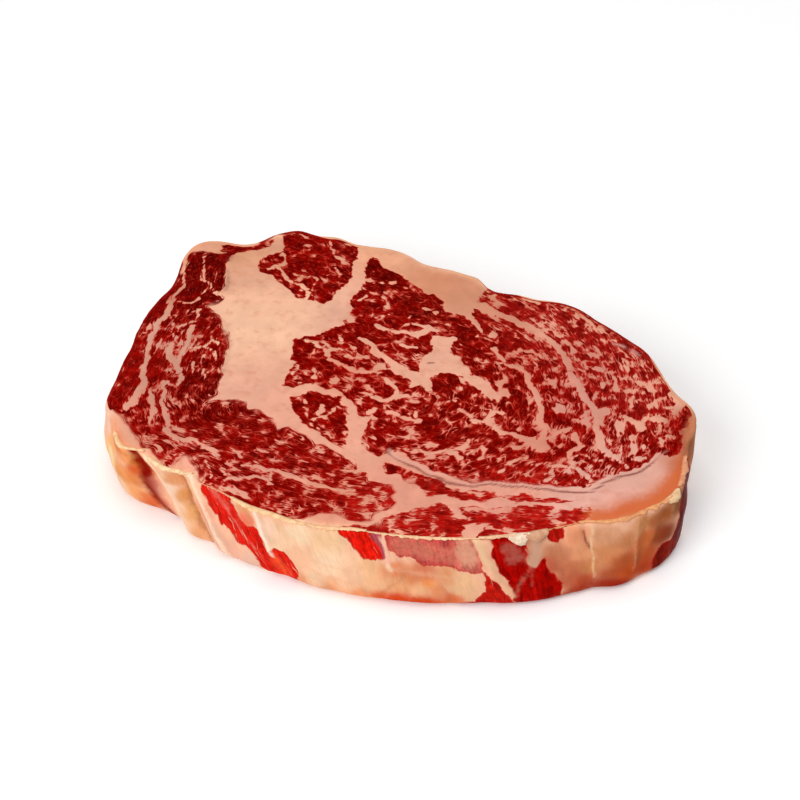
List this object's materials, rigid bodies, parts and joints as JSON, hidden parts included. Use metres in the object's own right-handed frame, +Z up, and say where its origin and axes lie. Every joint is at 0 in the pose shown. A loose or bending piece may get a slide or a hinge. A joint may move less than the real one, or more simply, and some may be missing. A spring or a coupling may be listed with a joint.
{
  "type": "raw ribeye steak",
  "caption": "Raw boneless ribeye steak: a thick, heavily marbled slice with an uneven rounded outline, a fatty side wall with slanting folds and a flat underside.",
  "frame": {"origin": "middle of the underside: the centre of the bounding box in X and Y, at the height of the surface that the steak rests on", "axes": "+Z is up, through the thickness of the slice. +X runs along the longer way of the slice, towards the end with the thick wedge of outer fat. +Y points to the side with the small round upper muscle."},
  "size_m": [0.195, 0.1528, 0.0283],
  "materials": {
    "raw_beef": "satin"
  },
  "bodies": {
    "root": {"steak": "raw_beef"}
  },
  "joints": []
}
